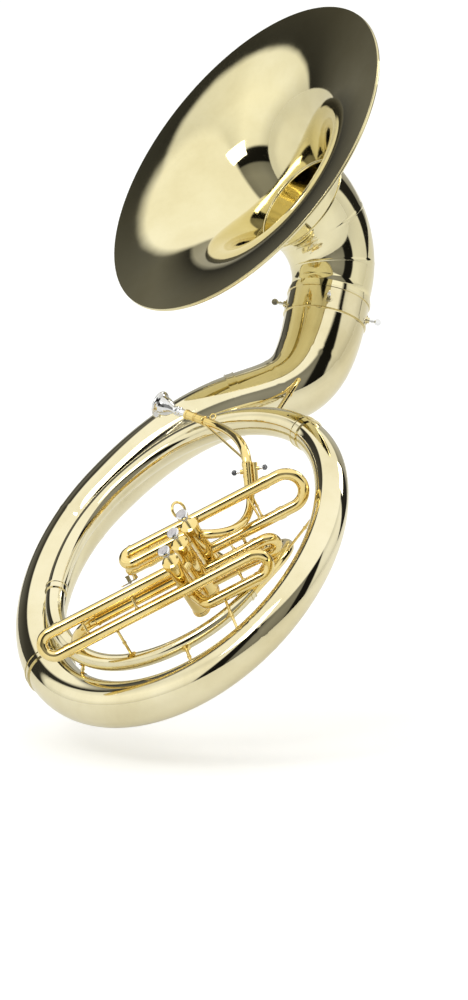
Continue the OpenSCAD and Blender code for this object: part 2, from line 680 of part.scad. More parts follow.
module lyre_screw() color(silver) in_receiver() translate(lyre_base + [3.3, 0, lyre_screw_z])
    rotate([0, 90, 0]) small_screw(11);

// ---------- neck and mouthpiece, along one axis in the coil frame ----------
mouth_centre = [167, 217, 132];
mouth_dir = unit([0.339, -0.881, -0.325]);
// distance from the rim to the start of the bit
bit_start = mp_len - 24;
bit_base = mouth_centre + mouth_dir * bit_start;
neck_start = bit_base + mouth_dir * 40;
receiver_top = valve_to_coil(receiver_base + receiver_axis * receiver_len);
receiver_dir = dir_to_coil(receiver_axis);
neck_ctrl = [neck_start, neck_start + mouth_dir * 50,
    receiver_top + receiver_dir * 52, receiver_top + receiver_dir * 1.5];
module neck() color(lacquer) {
    in_coil() {
        bezier_tube(neck_ctrl, lead_small_r, lead_large_r);
        // socket for the bit
        along(neck_start + mouth_dir * 2, -mouth_dir) difference() {
            union() {
                cylinder(d = 17.4, h = 6, $fn = 48);
                disc(6, 16.4, 12, 48);
            }
            disc(-1, 12.6, 30, 48);
            disc(2.5, 14.1, 30, 48);
        }
    }
    // tenon in the receiver, with its shoulder
    in_receiver() {
        translate([0, 0, receiver_len - 32]) ring(16, 14.4, 32);
        translate([0, 0, receiver_len + 0.2]) ring(19.6, 14.4, 3.2);
        translate([0, 0, receiver_len - 0.2]) ring(16, 14.4, 1);
    }
}
// rod across the bend of the neck with a ball at each end, and a small ring by the bit
module neck_brace() color(lacquer) in_coil() {
    near = bezier(neck_ctrl, 0.05);
    far = bezier(neck_ctrl, 0.9);
    chord = far - near;
    side = unit(cross(cross(chord, bezier(neck_ctrl, 0.5) - near), chord));
    start = near - side * 6;
    end = far - side * 7;
    along(start, end - start) cylinder(d = 4.6, h = norm(end - start), $fn = 32);
    for (p = [start, end]) translate(p) sphere(d = 7.4, $fn = 32);
    along(neck_start + mouth_dir * 9 + side * 13.2, cross(mouth_dir, side))
        rotate_extrude($fn = 48) translate([5.4, 0]) circle(d = 2.6, $fn = 24);
}
module mouthpipe_bit() color(lacquer) in_coil() along(bit_base, mouth_dir) difference() {
    union() {
        cylinder(d1 = 16.6, d2 = 15.4, h = 22, $fn = 64);
        cylinder(d = 18.2, h = 4, $fn = 64);
        disc(21.9, 14, 16.5);
        disc(17.5, 17, 2.4);
    }
    disc(-1, 13.2, 24);
    disc(20, 12.4, 40);
}
// outside of the cup and stem: [inset from the rim radius, distance from the rim]
mouthpiece_outside = [
    [3.6, 7.4], [5.6, 9.4], [6.6, 12], [7.6, 16], [9.4, 20.5], [12, 25], [14.8, 29],
    [17, 32.5], [18, 35], [18.2, 37], [16.4, 38.6], [16, 40.2], [16.6, 41.8], [17.6, 43],
    [17.4, 45], [16.2, 46.4], [16.4, 48.2], [17.6, 49.6], [18.1, 54], [18.45, bit_start - 0.2]];
// shank, then back up the bore and cup: [radius, distance from the rim]
mouthpiece_inside = [
    [6.55, bit_start - 0.1], [6.55, mp_len - 2], [4.6, mp_len - 2], [4.2, 60], [4, 44],
    [4.6, 40], [7, 34], [11, 26], [14, 16], [15.4, 8]];
module mouthpiece() color(silver) in_coil() along(mouth_centre, mouth_dir) {
    rim_r = mp_rim / 2;
    lip_r = 3.2;
    rotate_extrude($fn = 96) polygon(concat(
        [[rim_r - 9, 0]],
        [for (a = [90 : -15 : -60]) [rim_r - lip_r + lip_r * cos(a), lip_r - lip_r * sin(a)]],
        [for (p = mouthpiece_outside) [rim_r - p[0], p[1]]],
        mouthpiece_inside));
}

// ---------- stays, ring and water key ----------
module coil_braces() color(lacquer) in_coil() {
    // square to the slide tube they meet: [coil angle, place, foot]
    for (k = [[576, third_mid, 17], [262, third_low, 20]]) let (c = coil_at(k[0]))
        stay(valve_to_coil(leg_at(coil_to_valve(c).x, k[1])), sleeve_r,
            c, coil_tube_r(k[0]), 5.2, k[2], 9);
    stay(bezier(main_b_ctrl, 0.5), main_r, coil_at(326), coil_tube_r(326), 5.2, 20, 9);
    // between the turns: [coil angle, coil angle, foot]
    for (k = [[548, 192, 18], [480, 118, 20], [600, 243, 18]])
        stay(coil_at(k[0]), coil_tube_r(k[0]), coil_at(k[1]), coil_tube_r(k[1]), 6, k[2]);
    // to the bow: [coil angle, bow fraction, rod diameter]
    for (k = [[378, 0.12, 9.6], [430, 0.86, 7]])
        stay(coil_at(k[0]), coil_tube_r(k[0]), bow_at(k[1]), bow_tube_r(k[1]), k[2], 20);
}
// [x, place, place, rod diameter, foot]
slide_stays = [
    [-218, third_in, third_mid, 4.4, 9],
    [-120, third_in, third_mid, 4.4, 9],
    [-60, first_in, tuning_a, 4, 8],
    [-38, tuning_a, tuning_b, 4, 8],
    [140, first_side, first_low, 4.4, 9],
    [84, second_high, second_low, 4.4, 9],
    [70, third_mid, third_low, 4.4, 9],
    [70, first_low, main_a, 4.4, 9],
    [98, second_high, first_low, 4.4, 9],
    [92, third_mid, second_high, 4.4, 9],
    [66, main_a, main_b, 4, 8]];
module slide_braces() color(lacquer) in_valves() {
    for (k = slide_stays)
        stay(leg_at(k[0], k[1]), sleeve_r, leg_at(k[0], k[2]), sleeve_r, k[3], k[4]);
    // to the neck receiver: [distance up the receiver, place]
    for (k = [[5, first_low], [15, first_side]]) let (p = receiver_base + receiver_axis * k[0])
        stay(leg_at(p.x, k[1]), sleeve_r, p, 9.1, 4.4, 7, 9);
}
// ring on a foot, standing on the side leg of the first slide
module thumb_ring() color(lacquer) in_valves() {
    along(diagonal(20, 26 + sleeve_r + 16.2, -56), diagonal(0.72, 0, 0.69))
        rotate_extrude($fn = 64) translate([14.2, 0]) circle(d = 5, $fn = 32);
    along(diagonal(20, 26 + 10, -56), diagonal(0, 1, 0))
        cylinder(d1 = 12, d2 = 7, h = 3.4, $fn = 32);
}

// key frame: origin at the middle of the tuning crook's bend, X along the slides,
// Z square to the plane of the crook
module in_key() in_valves()
    multmatrix(frame([1, 0, 0], [0, -half_root, half_root], [0, -half_root, -half_root],
        leg_at(tuning_crook_end, (tuning_a + tuning_b) / 2))) children();
pivot_x = -12.4;
pivot_z = 18.6;
// cylinder on the pivot axis, from y onwards
module pivot_rod(y, d, h) translate([pivot_x, y, pivot_z]) rotate([-90, 0, 0])
    cylinder(d = d, h = h, $fn = 32);
module pivot_hole() pivot_rod(-10, 2.5, 20);
module water_key_seat() color(lacquer) in_key() {
    translate([0, 0, 9.9]) ring(8, 4.2, 4.1);
    // two lugs on a base
    for (side = [-1, 1]) let (y = side * 4.1 - 1.1) difference() {
        union() {
            translate([pivot_x - 3, y, 7.4]) cube([6, 2.2, 11.2]);
            pivot_rod(y, 6, 2.2);
        }
        pivot_hole();
    }
    translate([pivot_x - 4, -5.2, 6.2]) cube([8, 10.4, 2.4]);
}
module water_key_pin() color(silver) in_key() {
    pivot_rod(-6.2, 2.4, 12.4);
    pivot_rod(-6.8, 4, 1);
    pivot_rod(5.8, 4, 1);
}
module water_key() color(lacquer) in_key() difference() {
    union() {
        disc(14.1, 9, 2.4, 48);
        disc(16.4, 10, 1.4, 48);
        pivot_rod(-2.6, 6.4, 5.2);
        translate([pivot_x, -1.9, 17.4]) cube([14, 3.8, 2.2]);
        translate([-22, -1.9, 18.4]) cube([11, 3.8, 2.2]);
        translate([-25.5, 0, 18.4]) cylinder(d = 9.4, h = 2.2, $fn = 48);
    }
    pivot_hole();
}

bell_flare();
bell_rim_wire();
bell_elbow();
bell_seam_ring();
bell_tenon();
collar_screw(0);  // collar_screw_1
collar_screw(1);  // collar_screw_2
collar_screw(2);  // collar_screw_3
collar_screw(3);  // collar_screw_4
collar_socket();
bell_branch();
outer_branch();
lower_branch();
inner_branch();
small_branch();
branch_ferrules();
coil_braces();
main_tubes();
main_tube_sleeves();
leadpipe();
neck_receiver();
lyre_socket();
neck();
neck_brace();
mouthpipe_bit();
mouthpiece();
neck_screw();
lyre_screw();
valve_casings();
valve_top_caps();
valve_bottom_caps();
valve_knuckles();
piston(0);  // piston_1
piston(1);  // piston_2
piston(2);  // piston_3
finger_button(0);  // finger_button_1
finger_button(1);  // finger_button_2
finger_button(2);  // finger_button_3
valve_felt(0);  // valve_felt_1
valve_felt(1);  // valve_felt_2
valve_felt(2);  // valve_felt_3
valve_spring(0);  // valve_spring_1
valve_spring(1);  // valve_spring_2
valve_spring(2);  // valve_spring_3
first_slide_tubes();
second_slide_tubes();
third_slide_tubes();
first_slide();
second_slide();
third_slide();
tuning_slide();
slide_braces();
thumb_ring();
water_key();
water_key_pin();
water_key_seat();
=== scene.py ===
"""A large coiled brass horn with three piston valves, a neck and a wide bell.

World: metres, +Z up, camera on the -Y side. The coil winds about the Z axis of its own
tilted frame, and the bell faces up, to the left and towards the camera.
Shapes are worked out in millimetres in three frames (coil, valve and bell), each taken
to the coil frame and then to the world.
"""
import bpy, math
import numpy as np
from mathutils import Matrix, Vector


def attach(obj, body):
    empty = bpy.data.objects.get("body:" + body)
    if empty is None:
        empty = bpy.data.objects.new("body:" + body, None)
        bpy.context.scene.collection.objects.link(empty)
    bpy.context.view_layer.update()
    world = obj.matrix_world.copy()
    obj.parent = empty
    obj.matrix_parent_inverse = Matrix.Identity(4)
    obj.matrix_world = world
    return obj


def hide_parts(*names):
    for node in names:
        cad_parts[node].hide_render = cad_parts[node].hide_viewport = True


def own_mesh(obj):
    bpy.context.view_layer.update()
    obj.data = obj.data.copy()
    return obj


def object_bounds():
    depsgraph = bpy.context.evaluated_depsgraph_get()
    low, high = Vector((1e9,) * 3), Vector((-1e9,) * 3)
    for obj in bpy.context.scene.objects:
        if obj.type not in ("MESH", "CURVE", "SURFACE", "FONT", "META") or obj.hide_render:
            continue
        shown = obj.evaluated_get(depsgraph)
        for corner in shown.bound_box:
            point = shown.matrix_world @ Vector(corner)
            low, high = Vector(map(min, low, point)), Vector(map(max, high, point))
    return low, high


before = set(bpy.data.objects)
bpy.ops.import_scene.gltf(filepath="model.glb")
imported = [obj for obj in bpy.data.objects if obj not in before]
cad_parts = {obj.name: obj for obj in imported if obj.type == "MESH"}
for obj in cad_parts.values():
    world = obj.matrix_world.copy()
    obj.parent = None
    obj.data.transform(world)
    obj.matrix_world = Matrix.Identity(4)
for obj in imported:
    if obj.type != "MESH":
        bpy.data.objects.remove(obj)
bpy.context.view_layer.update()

WALL = 0.8          # sheet and tube wall, mm


# ---------------------------------------------------------------- vectors and curves
def rotation(x, y, z):
    """Matrix that turns about X, then Y, then Z, in degrees."""
    x, y, z = (math.radians(angle) for angle in (x, y, z))
    about_x = [[1, 0, 0], [0, math.cos(x), -math.sin(x)], [0, math.sin(x), math.cos(x)]]
    about_y = [[math.cos(y), 0, math.sin(y)], [0, 1, 0], [-math.sin(y), 0, math.cos(y)]]
    about_z = [[math.cos(z), -math.sin(z), 0], [math.sin(z), math.cos(z), 0], [0, 0, 1]]
    return np.array(about_z) @ np.array(about_y) @ np.array(about_x)


def unit(vector):
    vector = np.array(vector, float)
    return vector / np.linalg.norm(vector)


def lerp(start, end, t):
    return start + (end - start) * t


def catmull_rom(values, x):
    """Smooth curve through evenly spaced values, read at index x."""
    i = max(1, min(len(values) - 3, int(math.floor(x))))
    a, b, c, d = values[i - 1:i + 3]
    t = x - i
    return b + 0.5 * t * (c - a + t * (2 * a - 5 * b + 4 * c - d + t * (3 * (b - c) + d - a)))


def bezier(points, t):
    return ((1 - t) ** 3 * points[0] + 3 * (1 - t) ** 2 * t * points[1]
            + 3 * (1 - t) * t * t * points[2] + t ** 3 * points[3])


def bump_curve(distance, width):
    """Bell-shaped bump, 1 where distance is 0."""
    return np.exp(-(distance / width) ** 2)


# ---------------------------------------------------------------- frames
COIL_TURN = rotation(18.2, -43.6, 14.3)
VALVE_TURN = rotation(5.9, 9.9, -16.9)
VALVE_ORIGIN = np.array([8, -132, 141.0])
COLLAR_CENTRE = np.array([517, 347, -78.0])      # where the bell stands on the bow
COLLAR_AXIS = unit([0.797, 0.564, 0.214])
BELL_FACING = unit([-0.115, 0.139, 0.984])
BELL_X = unit(BELL_FACING - COLLAR_AXIS * (COLLAR_AXIS @ BELL_FACING))
BELL_TURN = np.array([BELL_X, np.cross(COLLAR_AXIS, BELL_X), COLLAR_AXIS])


def coil_to_world(points):
    return points @ COIL_TURN.T / 1000.0


def valve_to_coil(points):
    return np.array(points, float) @ VALVE_TURN.T + VALVE_ORIGIN


def bell_to_coil(points):
    return COLLAR_CENTRE + points @ BELL_TURN


# ---------------------------------------------------------------- mesh helpers
def make_object(name, verts, faces, material, body, replaced=None):
    """Smooth-shaded object from vertices in the coil frame."""
    mesh = bpy.data.meshes.new(name)
    mesh.from_pydata([tuple(map(float, co)) for co in coil_to_world(verts)], [], faces)
    mesh.validate()
    mesh.update()
    mesh.polygons.foreach_set("use_smooth", [True] * len(mesh.polygons))
    ob = bpy.data.objects.new(name, mesh)
    bpy.context.scene.collection.objects.link(ob)
    ob.data.materials.append(material)
    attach(ob, body)
    if replaced:
        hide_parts(replaced)


def ring_faces(rings, sides, start=0):
    """Quads between neighbouring rings of vertices, numbered from start."""
    faces = []
    for i in range(rings - 1):
        for j in range(sides):
            a, b = start + i * sides + j, start + i * sides + (j + 1) % sides
            faces.append((a, b, b + sides, a + sides))
    return faces


def lathe(profile, sides):
    """Profile of (radius, height) turned about Z."""
    radius, height = np.array(profile, float).T[:, :, None]
    angle = np.linspace(0, 2 * math.pi, sides, endpoint=False)[None]
    x, y = radius * np.cos(angle), radius * np.sin(angle)
    verts = np.stack([x, y, np.repeat(height, sides, 1)], 2).reshape(-1, 3)
    return verts, ring_faces(len(profile), sides)


def cross_axes(path):
    """Two axes square to the path at each point, carried along without twist."""
    tangent = np.gradient(path, axis=0)
    tangent /= np.linalg.norm(tangent, axis=1)[:, None]
    side = np.zeros_like(path)
    helper = np.array([0, 0, 1.0]) if abs(tangent[0][2]) < 0.9 else np.array([1.0, 0, 0])
    side[0] = unit(np.cross(tangent[0], helper))
    for i in range(1, len(path)):
        side[i] = unit(side[i - 1] - tangent[i] * (side[i - 1] @ tangent[i]))
    return side, np.cross(tangent, side)


def skin(path, radii, sides, wall):
    """Walled tube along a path, closed at both lips."""
    path, radii = np.array(path, float), np.array(radii, float)
    side, other = cross_axes(path)
    angle = np.linspace(0, 2 * math.pi, sides, endpoint=False)[None, :, None]
    around = np.cos(angle) * side[:, None, :] + np.sin(angle) * other[:, None, :]

    def rings(radius):
        return (path[:, None, :] + radius[:, None, None] * around).reshape(-1, 3)

    count = len(path)
    inside = count * sides           # index of the first inner vertex
    last = inside - sides            # index of the first vertex of the last outer ring
    faces = [quad[::-1] for quad in ring_faces(count, sides)]
    faces += ring_faces(count, sides, start=inside)
    for j in range(sides):
        a, b = j, (j + 1) % sides
        faces.append((a, b, inside + b, inside + a))
        a, b = last + a, last + b
        faces.append((a, inside + a, inside + b, b))
    return np.vstack([rings(radii), rings(radii - wall)]), faces


def make_tubes(name, runs, material, body, replaced, sides, wall=WALL):
    """One object from several (path, radii) runs."""
    verts, faces, start = [], [], 0
    for path, radii in runs:
        run_verts, run_faces = skin(path, radii, sides, wall)
        verts.append(run_verts)
        faces += [tuple(i + start for i in quad) for quad in run_faces]
        start += len(run_verts)
    make_object(name, np.vstack(verts), faces, material, body, replaced)


# ---------------------------------------------------------------- shader helpers
def empty_tree(owner):
    owner.use_nodes = True
    tree = owner.node_tree
    for old in list(tree.nodes):
        tree.nodes.remove(old)
    return tree


def new_material(name):
    material = bpy.data.materials.new(name)
    return material, empty_tree(material)


def node(tree, kind, inputs=(), **settings):
    """New node; an input given as a socket is linked, any other is set."""
    made = tree.nodes.new(kind)
    for key, value in settings.items():
        setattr(made, key, value)
    for key, value in dict(inputs).items():
        if isinstance(value, bpy.types.NodeSocket):
            tree.links.new(value, made.inputs[key])
        else:
            made.inputs[key].default_value = value
    return made


def coordinates(tree, kind="Object"):
    return node(tree, "ShaderNodeTexCoord").outputs[kind]


def noise(tree, vector, **inputs):
    return node(tree, "ShaderNodeTexNoise", {"Vector": vector, **inputs}).outputs["Fac"]


def ramp(tree, factor, stops):
    """Colour ramp through (position, rgb) stops."""
    made = node(tree, "ShaderNodeValToRGB", {"Fac": factor})
    elements = made.color_ramp.elements
    while len(elements) < len(stops):
        elements.new(0.5)
    for element, (position, rgb) in zip(elements, stops):
        element.position = position
        element.color = (*rgb, 1)
    return made.outputs["Color"]


def multiply_add(tree, value, factor, offset):
    return node(tree, "ShaderNodeMath", {0: value, 1: factor, 2: offset},
                operation="MULTIPLY_ADD").outputs[0]


def mix_colours(tree, factor, first, second, blend="MIX"):
    return node(tree, "ShaderNodeMix", {0: factor, 6: first, 7: second},
                data_type="RGBA", blend_type=blend).outputs[2]


def bump(tree, height, strength, distance, **more):
    return node(tree, "ShaderNodeBump", {"Height": height, "Strength": strength,
                                         "Distance": distance, **more}).outputs["Normal"]


def principled(tree, inputs):
    return node(tree, "ShaderNodeBsdfPrincipled", inputs).outputs[0]


def set_surface(tree, shader):
    node(tree, "ShaderNodeOutputMaterial", {0: shader})


def grey(value):
    return (value, value, value)


BLACK, WHITE = grey(0), grey(1)


# ---------------------------------------------------------------- materials
def metal(name, light, mid, dark, rough, scale, wave, spots=0.5, coat=0.0):
    """Polished metal: drifting tone, specks, hairlines, haze and faint unevenness.

    rough: least and most roughness; scale: size of the tone pattern (higher is finer);
    wave: strength of the unevenness; spots: strength of the specks; coat: lacquer weight.
    """
    material, tree = new_material(name)
    coords = coordinates(tree)
    drift = noise(tree, coords, Scale=scale, Detail=6.0, Roughness=0.6)
    tone = ramp(tree, drift, stops=[(0.30, dark), (0.52, mid), (0.72, light)])

    # small tarnish specks, gathered in patches
    cells = node(tree, "ShaderNodeTexVoronoi", {"Vector": coords, "Scale": scale * 26})
    specks = ramp(tree, cells.outputs["Distance"], stops=[(0.035, WHITE), (0.075, BLACK)])
    patches = ramp(tree, noise(tree, coords, Scale=scale * 2.2, Detail=2.0),
                   stops=[(0.55, BLACK), (0.70, grey(spots))])
    tarnish = node(tree, "ShaderNodeMath", {0: specks, 1: patches}, operation="MULTIPLY")
    tarnish_colour = (*[channel * 0.45 for channel in dark], 1)
    colour = mix_colours(tree, tarnish.outputs[0], tone, tarnish_colour)

    # hairlines and haze in the roughness
    stretched = node(tree, "ShaderNodeMapping", {
        "Vector": coords, "Scale": (1.0, 1.0, 14.0), "Rotation": (0.5, 0.35, 0.2)})
    hairlines = noise(tree, stretched.outputs["Vector"], Scale=60.0, Detail=4.0, Roughness=0.7)
    haze = noise(tree, coords, Scale=scale * 1.6, Detail=5.0)
    roughness = node(tree, "ShaderNodeMapRange", {
        "Value": multiply_add(tree, hairlines, factor=0.25, offset=haze),
        "From Min": 0.35, "From Max": 0.90, "To Min": rough[0], "To Max": rough[1]})

    # hammered, spun and drawn unevenness, with the hairlines on top
    uneven = noise(tree, coords, Scale=14.0, Detail=1.5)
    normal = bump(tree, uneven, strength=wave, distance=0.002)
    normal = bump(tree, hairlines, strength=0.05, distance=0.0002, Normal=normal)
    set_surface(tree, principled(tree, {
        "Metallic": 1.0, "Base Color": colour, "Roughness": roughness.outputs["Result"],
        "Normal": normal, "Coat Weight": coat, "Coat Roughness": 0.04}))
    return material


def felt():
    material, tree = new_material("pressed_felt")
    fibres = noise(tree, coordinates(tree), Scale=900.0, Detail=6.0)
    set_surface(tree, principled(tree, {
        "Base Color": ramp(tree, fibres, stops=[(0.3, (0.50, 0.48, 0.42)),
                                                (0.7, (0.80, 0.78, 0.72))]),
        "Roughness": 0.95,
        "Normal": bump(tree, fibres, strength=0.8, distance=0.0004)}))
    return material


def pearl():
    """Clouded mother of pearl under a clear gloss."""
    material, tree = new_material("pearl_inlay")
    clouds = noise(tree, coordinates(tree), Scale=160.0, Detail=4.0, Distortion=1.5)
    set_surface(tree, principled(tree, {
        "Base Color": ramp(tree, clouds, stops=[(0.30, (0.42, 0.41, 0.42)),
                                                (0.50, (0.55, 0.53, 0.54)),
                                                (0.70, (0.66, 0.65, 0.66))]),
        "Roughness": 0.32, "Coat Weight": 0.5, "Coat Roughness": 0.06}))
    return material


BRASS = metal(
    "lacquered_brass", light=(0.87, 0.80, 0.57), mid=(0.80, 0.725, 0.48),
    dark=(0.69, 0.605, 0.36), rough=(0.018, 0.07), scale=5.0, wave=0.07, coat=0.25)
BELL_BRASS = metal(
    "bell_brass", light=(0.86, 0.79, 0.52), mid=(0.78, 0.70, 0.42),
    dark=(0.68, 0.59, 0.32), rough=(0.022, 0.085), scale=3.2, wave=0.10, coat=0.25)
# deeper yellow brass for the small tubing: a painted reflection of brass seen in brass
BRASS_PAINTED_REFLECTION = metal(
    "brass_painted_reflection", light=(0.92, 0.76, 0.38), mid=(0.86, 0.68, 0.28),
    dark=(0.74, 0.54, 0.17), rough=(0.02, 0.09), scale=11.0, wave=0.04, coat=0.2)
SILVER = metal(
    "silver_plate", light=(0.90, 0.90, 0.90), mid=(0.82, 0.83, 0.84),
    dark=(0.66, 0.65, 0.62), rough=(0.05, 0.16), scale=18.0, wave=0.03, spots=0.35)
NICKEL = metal(
    "ground_nickel", light=(0.74, 0.73, 0.70), mid=(0.66, 0.66, 0.64),
    dark=(0.52, 0.50, 0.46), rough=(0.12, 0.28), scale=14.0, wave=0.03)
STEEL = metal(
    "spring_wire", light=(0.68, 0.68, 0.68), mid=(0.56, 0.56, 0.56),
    dark=(0.40, 0.38, 0.35), rough=(0.20, 0.38), scale=30.0, wave=0.02, spots=0.6)
FELT = felt()
PEARL = pearl()

# small drawn tubing and fittings, in a deeper yellow than the big branches: a painted reflection of
# the brass around them
PAINTED_REFLECTION_NODES = {
    "main_tubes", "main_tube_sleeves", "leadpipe", "neck_receiver", "lyre_socket", "neck",
    "neck_brace", "mouthpipe_bit", "valve_casings", "valve_top_caps", "valve_bottom_caps",
    "valve_knuckles", "first_slide_tubes", "second_slide_tubes", "third_slide_tubes",
    "first_slide", "second_slide", "third_slide", "tuning_slide", "slide_braces",
    "thumb_ring", "water_key", "water_key_seat", "coil_braces"}
SILVER_NODES = {"mouthpiece", "water_key_pin"}


def cad_material(name):
    if name.startswith("valve_felt"):
        return FELT
    if name.startswith("valve_spring"):
        return STEEL
    if name.startswith("piston"):
        return NICKEL
    if name.startswith("finger_button") or name in SILVER_NODES or "screw" in name:
        return SILVER
    if name in PAINTED_REFLECTION_NODES:
        return BRASS_PAINTED_REFLECTION
    if name.startswith("bell_") and name != "bell_branch":
        return BELL_BRASS
    return BRASS


for name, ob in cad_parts.items():
    ob.data.materials.clear()
    ob.data.materials.append(cad_material(name))

# ---------------------------------------------------------------- bell
# flare frame: Z is the bell's axis, 0 at the throat and FLARE_LENGTH at the rim
FLARE_LENGTH, THROAT_R, RIM_R = 150.0, 96.0, 330.0
FLARE_POWER = 0.7
FLARE_LEAD = FLARE_LENGTH / ((RIM_R / THROAT_R) ** (1 / FLARE_POWER) - 1)
FLARE_STEPS = 110
BELL_SIDES = 288

# the elbow bends in the bell frame's XZ plane, from the collar up to the throat
ELBOW_ANGLE = math.radians(78.6)
ELBOW_BEND_R = 130.0
ELBOW_START_Z = 35.0
ELBOW_FOOT_Z = 14.2
ELBOW_FOOT_R = 73.0
ELBOW_STEPS = 72
ELBOW_SEAM_RINGS = (18, 50)


def flare_radius(z):
    return RIM_R * (FLARE_LEAD / (FLARE_LEAD + FLARE_LENGTH - z)) ** FLARE_POWER


def flare_to_coil(points):
    x, y, z = (points - np.array([ELBOW_BEND_R, 0, 0])).T
    c, s = math.cos(ELBOW_ANGLE), math.sin(ELBOW_ANGLE)
    in_bell = np.stack([c * x + s * z, y, -s * x + c * z], 1)
    return bell_to_coil(in_bell + np.array([ELBOW_BEND_R, 0, ELBOW_START_Z]))


def bell_lathe(name, profile, replaced):
    verts, faces = lathe(profile, BELL_SIDES)
    make_object(name, flare_to_coil(verts), faces, BELL_BRASS, "bell", replaced)


def bell_flare():
    """Sheet with rings crowded towards the rim and a thinner edge there."""
    outer, inner = [], []
    for i in range(FLARE_STEPS + 1):
        z = FLARE_LENGTH * (1 - (1 - i / FLARE_STEPS) ** 1.9)
        thinning = 0.6 if i == FLARE_STEPS else 1
        outer.append((flare_radius(z), z))
        inner.append((flare_radius(z) - WALL * thinning, z + 0.72 * i / FLARE_STEPS))
    bell_lathe("bell_flare_sheet", outer + inner[::-1] + [outer[0]], "bell_flare")


def bell_elbow():
    path, radii = [(0, 0, ELBOW_FOOT_Z)], [ELBOW_FOOT_R]
    for i in range(ELBOW_STEPS + 1):
        t = i / ELBOW_STEPS
        angle = ELBOW_ANGLE * t
        path.append((ELBOW_BEND_R * (1 - math.cos(angle)), 0,
                     ELBOW_START_Z + ELBOW_BEND_R * math.sin(angle)))
        radii.append(lerp(ELBOW_FOOT_R, THROAT_R, 0.55 * t + 0.45 * t ** 2))
    # two soldered seam beads stand out of the skin
    ring = np.arange(len(radii))
    for seam in ELBOW_SEAM_RINGS:
        radii = radii + 0.7 * bump_curve(ring - seam, width=0.55)
    make_tubes("bell_elbow_tube", [(bell_to_coil(np.array(path)), radii)], BELL_BRASS,
               body="bell", replaced="bell_elbow", sides=144)


def bell_hoop(name, radius, z, wire_radius, replaced):
    angles = np.linspace(0, 2 * math.pi, 20, endpoint=False)
    profile = [(radius + wire_radius * math.cos(angle), z + wire_radius * math.sin(angle))
               for angle in angles]
    bell_lathe(name, profile + [profile[0]], replaced)


RIM_WIRE_R = 3.5
bell_flare()
bell_elbow()
bell_hoop("bell_rim_bead", radius=RIM_R - RIM_WIRE_R + 0.5, z=FLARE_LENGTH + 0.32 - 3.9,
          wire_radius=RIM_WIRE_R, replaced="bell_rim_wire")
bell_hoop("bell_throat_seam", radius=THROAT_R + 0.4, z=0, wire_radius=1.7,
          replaced="bell_seam_ring")

# ---------------------------------------------------------------- bow and coil
COIL_R = 316
FIRST_STATION, STATION_PITCH = 80, 40      # degrees about the coil axis, from +X
# each station: coil radius as a share of COIL_R, height along the axis, tube radius
COIL_STATIONS = [
    (1, 4, 50.5), (1, 5.5, 46.5), (1, 6.5, 44.2), (1, 8, 42.5),
    (1, 9, 40.3), (1, 10, 36.3), (1, 11, 31.5), (0.984, 13, 27.5),
    (0.892, 27, 24.2), (0.795, 40, 21), (0.788, 48, 18.6), (0.813, 48, 16.9),
    (0.791, 40, 15.4), (0.709, 24, 13.8), (0.652, 6, 12.2), (0.62, -6, 10.6)]
COIL_SHARES, COIL_HEIGHTS, COIL_TUBE_RADII = np.array(COIL_STATIONS, float).T
COIL_START, COIL_END = 90, 640


def read_station(column, angle):
    return catmull_rom(column, (angle - FIRST_STATION) / STATION_PITCH)


def coil_at(angle):
    radius = COIL_R * read_station(COIL_SHARES, angle)
    turn = math.radians(angle)
    return np.array([radius * math.cos(turn), radius * math.sin(turn),
                     read_station(COIL_HEIGHTS, angle)])


def coil_tube_radius(angle):
    return read_station(COIL_TUBE_RADII, angle)


def coil_run(start, end, samples):
    angles = np.linspace(start, end, samples)
    return [coil_at(angle) for angle in angles], [coil_tube_radius(angle) for angle in angles]


# the bow runs from the bell collar (0) into the start of the coil (1)
COIL_HEAD = coil_at(COIL_START)
BOW = [COLLAR_CENTRE - COLLAR_AXIS * 30, COLLAR_CENTRE - COLLAR_AXIS * 268,
       np.array([356, COIL_HEAD[1], COIL_HEAD[2]]), COIL_HEAD]
BOW_COLLAR_R, BOW_MIDDLE_R = 74.2, 58
BOW_SPLIT = 0.6


def bow_tube_radius(s):
    if s < 0.5:
        t = s * 2
        return lerp(BOW_COLLAR_R, BOW_MIDDLE_R, t * t * (3 - 2 * t) * 0.35 + t * 0.65)
    return lerp(BOW_MIDDLE_R, coil_tube_radius(COIL_START), (s - 0.5) * 2)


def bow_run(start, end, samples):
    places = np.linspace(start, end, samples)
    return [bezier(BOW, s) for s in places], [bow_tube_radius(s) for s in places]


def resample(path, radii, step):
    """Even spacing of about one step along the path."""
    path = np.array(path, float)
    lengths = np.linalg.norm(np.diff(path, axis=0), axis=1)
    along = np.r_[0, np.cumsum(lengths)]
    even = np.linspace(0, along[-1], max(4, int(along[-1] / step)) + 1)
    spaced = np.stack([np.interp(even, along, path[:, axis]) for axis in range(3)], 1)
    return spaced, np.interp(even, along, radii)


def branch(name, run, replaced, sides=96, step=5.0, seams=()):
    """Large tube; seams are raised beads, placed as shares of its length."""
    path, radii = resample(*run, step)
    share = np.linspace(0, 1, len(radii))
    for seam in seams:
        radii = radii + 0.55 * bump_curve((share - seam) * len(radii), width=0.5)
    make_tubes(name, [(path, radii)], BRASS, "horn", replaced, sides)


branch("bow_upper_tube", bow_run(0, BOW_SPLIT, 90), "bell_branch", seams=(0.33, 0.7))
bow_path, bow_radii = bow_run(BOW_SPLIT, 0.99, 60)
coil_path, coil_radii = coil_run(COIL_START, 170, 120)
branch("bow_lower_tube", (bow_path + coil_path, bow_radii + coil_radii), "outer_branch",
       seams=(0.5,))
